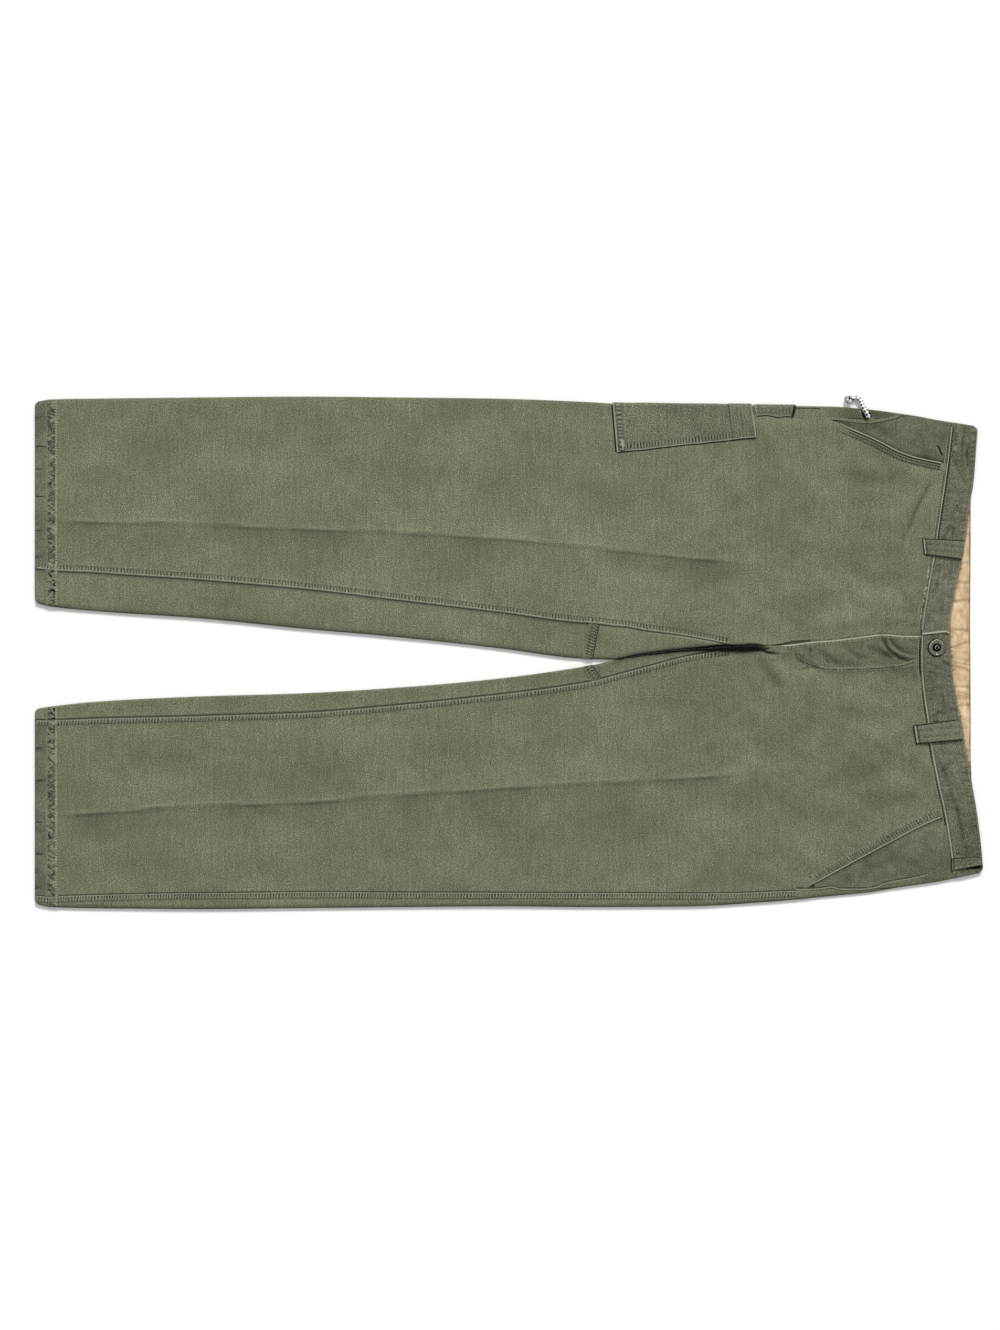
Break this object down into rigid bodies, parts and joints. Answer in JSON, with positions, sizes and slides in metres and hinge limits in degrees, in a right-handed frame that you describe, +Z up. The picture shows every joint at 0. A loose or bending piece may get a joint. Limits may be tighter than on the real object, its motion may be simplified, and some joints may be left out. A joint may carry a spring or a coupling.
{
  "type": "cargo pants",
  "caption": "Men's olive canvas cargo pants laid flat front side up, buttoned, with slanted hand pockets, a cargo pocket on the right thigh and a short pull cord at the right hip.",
  "frame": {"origin": "middle of the garment's outline in plan, on the surface it lies on; the cord isn't counted", "axes": "+X from the hems to the waist, +Y towards the wearer's right leg, +Z up, out of the front side"},
  "size_m": [1.1008, 0.5961, 0.0103],
  "materials": {
    "front_right": "washed cotton canvas, olive green",
    "front_left": "washed cotton canvas, olive green",
    "back_right": "washed cotton canvas, olive green",
    "back_left": "washed cotton canvas, olive green",
    "gusset_right": "washed cotton canvas, olive green",
    "gusset_left": "washed cotton canvas, olive green",
    "fly_placket": "washed cotton canvas, olive green",
    "pocket_facing_right": "washed cotton canvas, olive green, in shade",
    "pocket_facing_left": "washed cotton canvas, olive green, in shade",
    "cargo_pocket": "washed cotton canvas, olive green",
    "tool_pocket": "washed cotton canvas, olive green",
    "waistband_front_right": "washed cotton canvas, olive green",
    "waistband_front_left": "washed cotton canvas, olive green",
    "waistband_back": "washed cotton canvas, olive green",
    "waistband_facing": "tan cotton twill",
    "belt_loop_right": "washed cotton canvas, olive green",
    "belt_loop_left": "washed cotton canvas, olive green",
    "belt_loop_side": "washed cotton canvas, olive green",
    "button": "dark gunmetal plating, worn",
    "pull_cord": "braided white with dark flecks",
    "cord_knot": "braided white with a dark tip"
  },
  "bodies": {
    "root": {"front_right": "front_right", "front_left": "front_left", "back_right": "back_right", "back_left": "back_left", "gusset_right": "gusset_right", "gusset_left": "gusset_left", "fly_placket": "fly_placket", "pocket_facing_right": "pocket_facing_right", "pocket_facing_left": "pocket_facing_left", "cargo_pocket": "cargo_pocket", "tool_pocket": "tool_pocket", "waistband_front_right": "waistband_front_right", "waistband_front_left": "waistband_front_left", "waistband_back": "waistband_back", "waistband_facing": "waistband_facing", "belt_loop_right": "belt_loop_right", "belt_loop_left": "belt_loop_left", "belt_loop_side": "belt_loop_side", "button": "button", "pull_cord": "pull_cord", "cord_knot": "cord_knot"}
  },
  "joints": []
}
